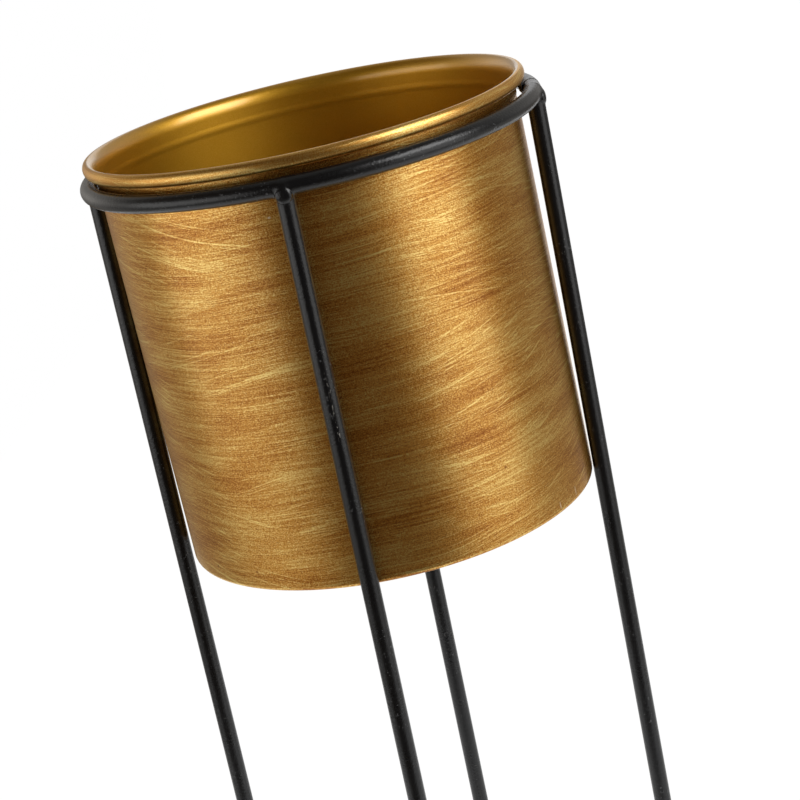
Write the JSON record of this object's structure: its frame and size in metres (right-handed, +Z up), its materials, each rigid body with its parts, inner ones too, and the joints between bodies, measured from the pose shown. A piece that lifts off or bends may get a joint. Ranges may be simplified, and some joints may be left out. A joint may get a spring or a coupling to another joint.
{
  "type": "plant stand",
  "caption": "Tall round plant stand: a lift-out brass-finished pot with a curled rim hangs in a black rod ring on straight rod legs.",
  "frame": {"origin": "on the floor, in the middle of the outline seen from above", "axes": "+Z up, -Y towards the front leg, +X towards the right leg"},
  "size_m": [0.2228, 0.2128, 0.6001],
  "materials": {
    "black_paint": "semi-matt black powder coat on steel rod",
    "black_rubber": "matt black moulded rubber",
    "aged_brass": "cross-brushed and darkened brass plate, lacquered",
    "gold_paint": "fine metallic gold paint"
  },
  "bodies": {
    "stand": {"top_ring": "black_paint", "ring_seam_weld": "black_paint", "right_leg": "black_paint", "back_leg": "black_paint", "left_leg": "black_paint", "front_leg": "black_paint", "right_leg_weld": "black_paint", "back_leg_weld": "black_paint", "left_leg_weld": "black_paint", "front_leg_weld": "black_paint", "right_foot_cap": "black_rubber", "back_foot_cap": "black_rubber", "left_foot_cap": "black_rubber", "front_foot_cap": "black_rubber"},
    "pot": {"pot_wall": "aged_brass", "pot_base": "gold_paint"}
  },
  "joints": [
    {"name": "pot_lift", "type": "slide", "parent": "stand", "child": "pot", "axis": [0, 0, 1], "range_m": [0, 0.2]}
  ]
}
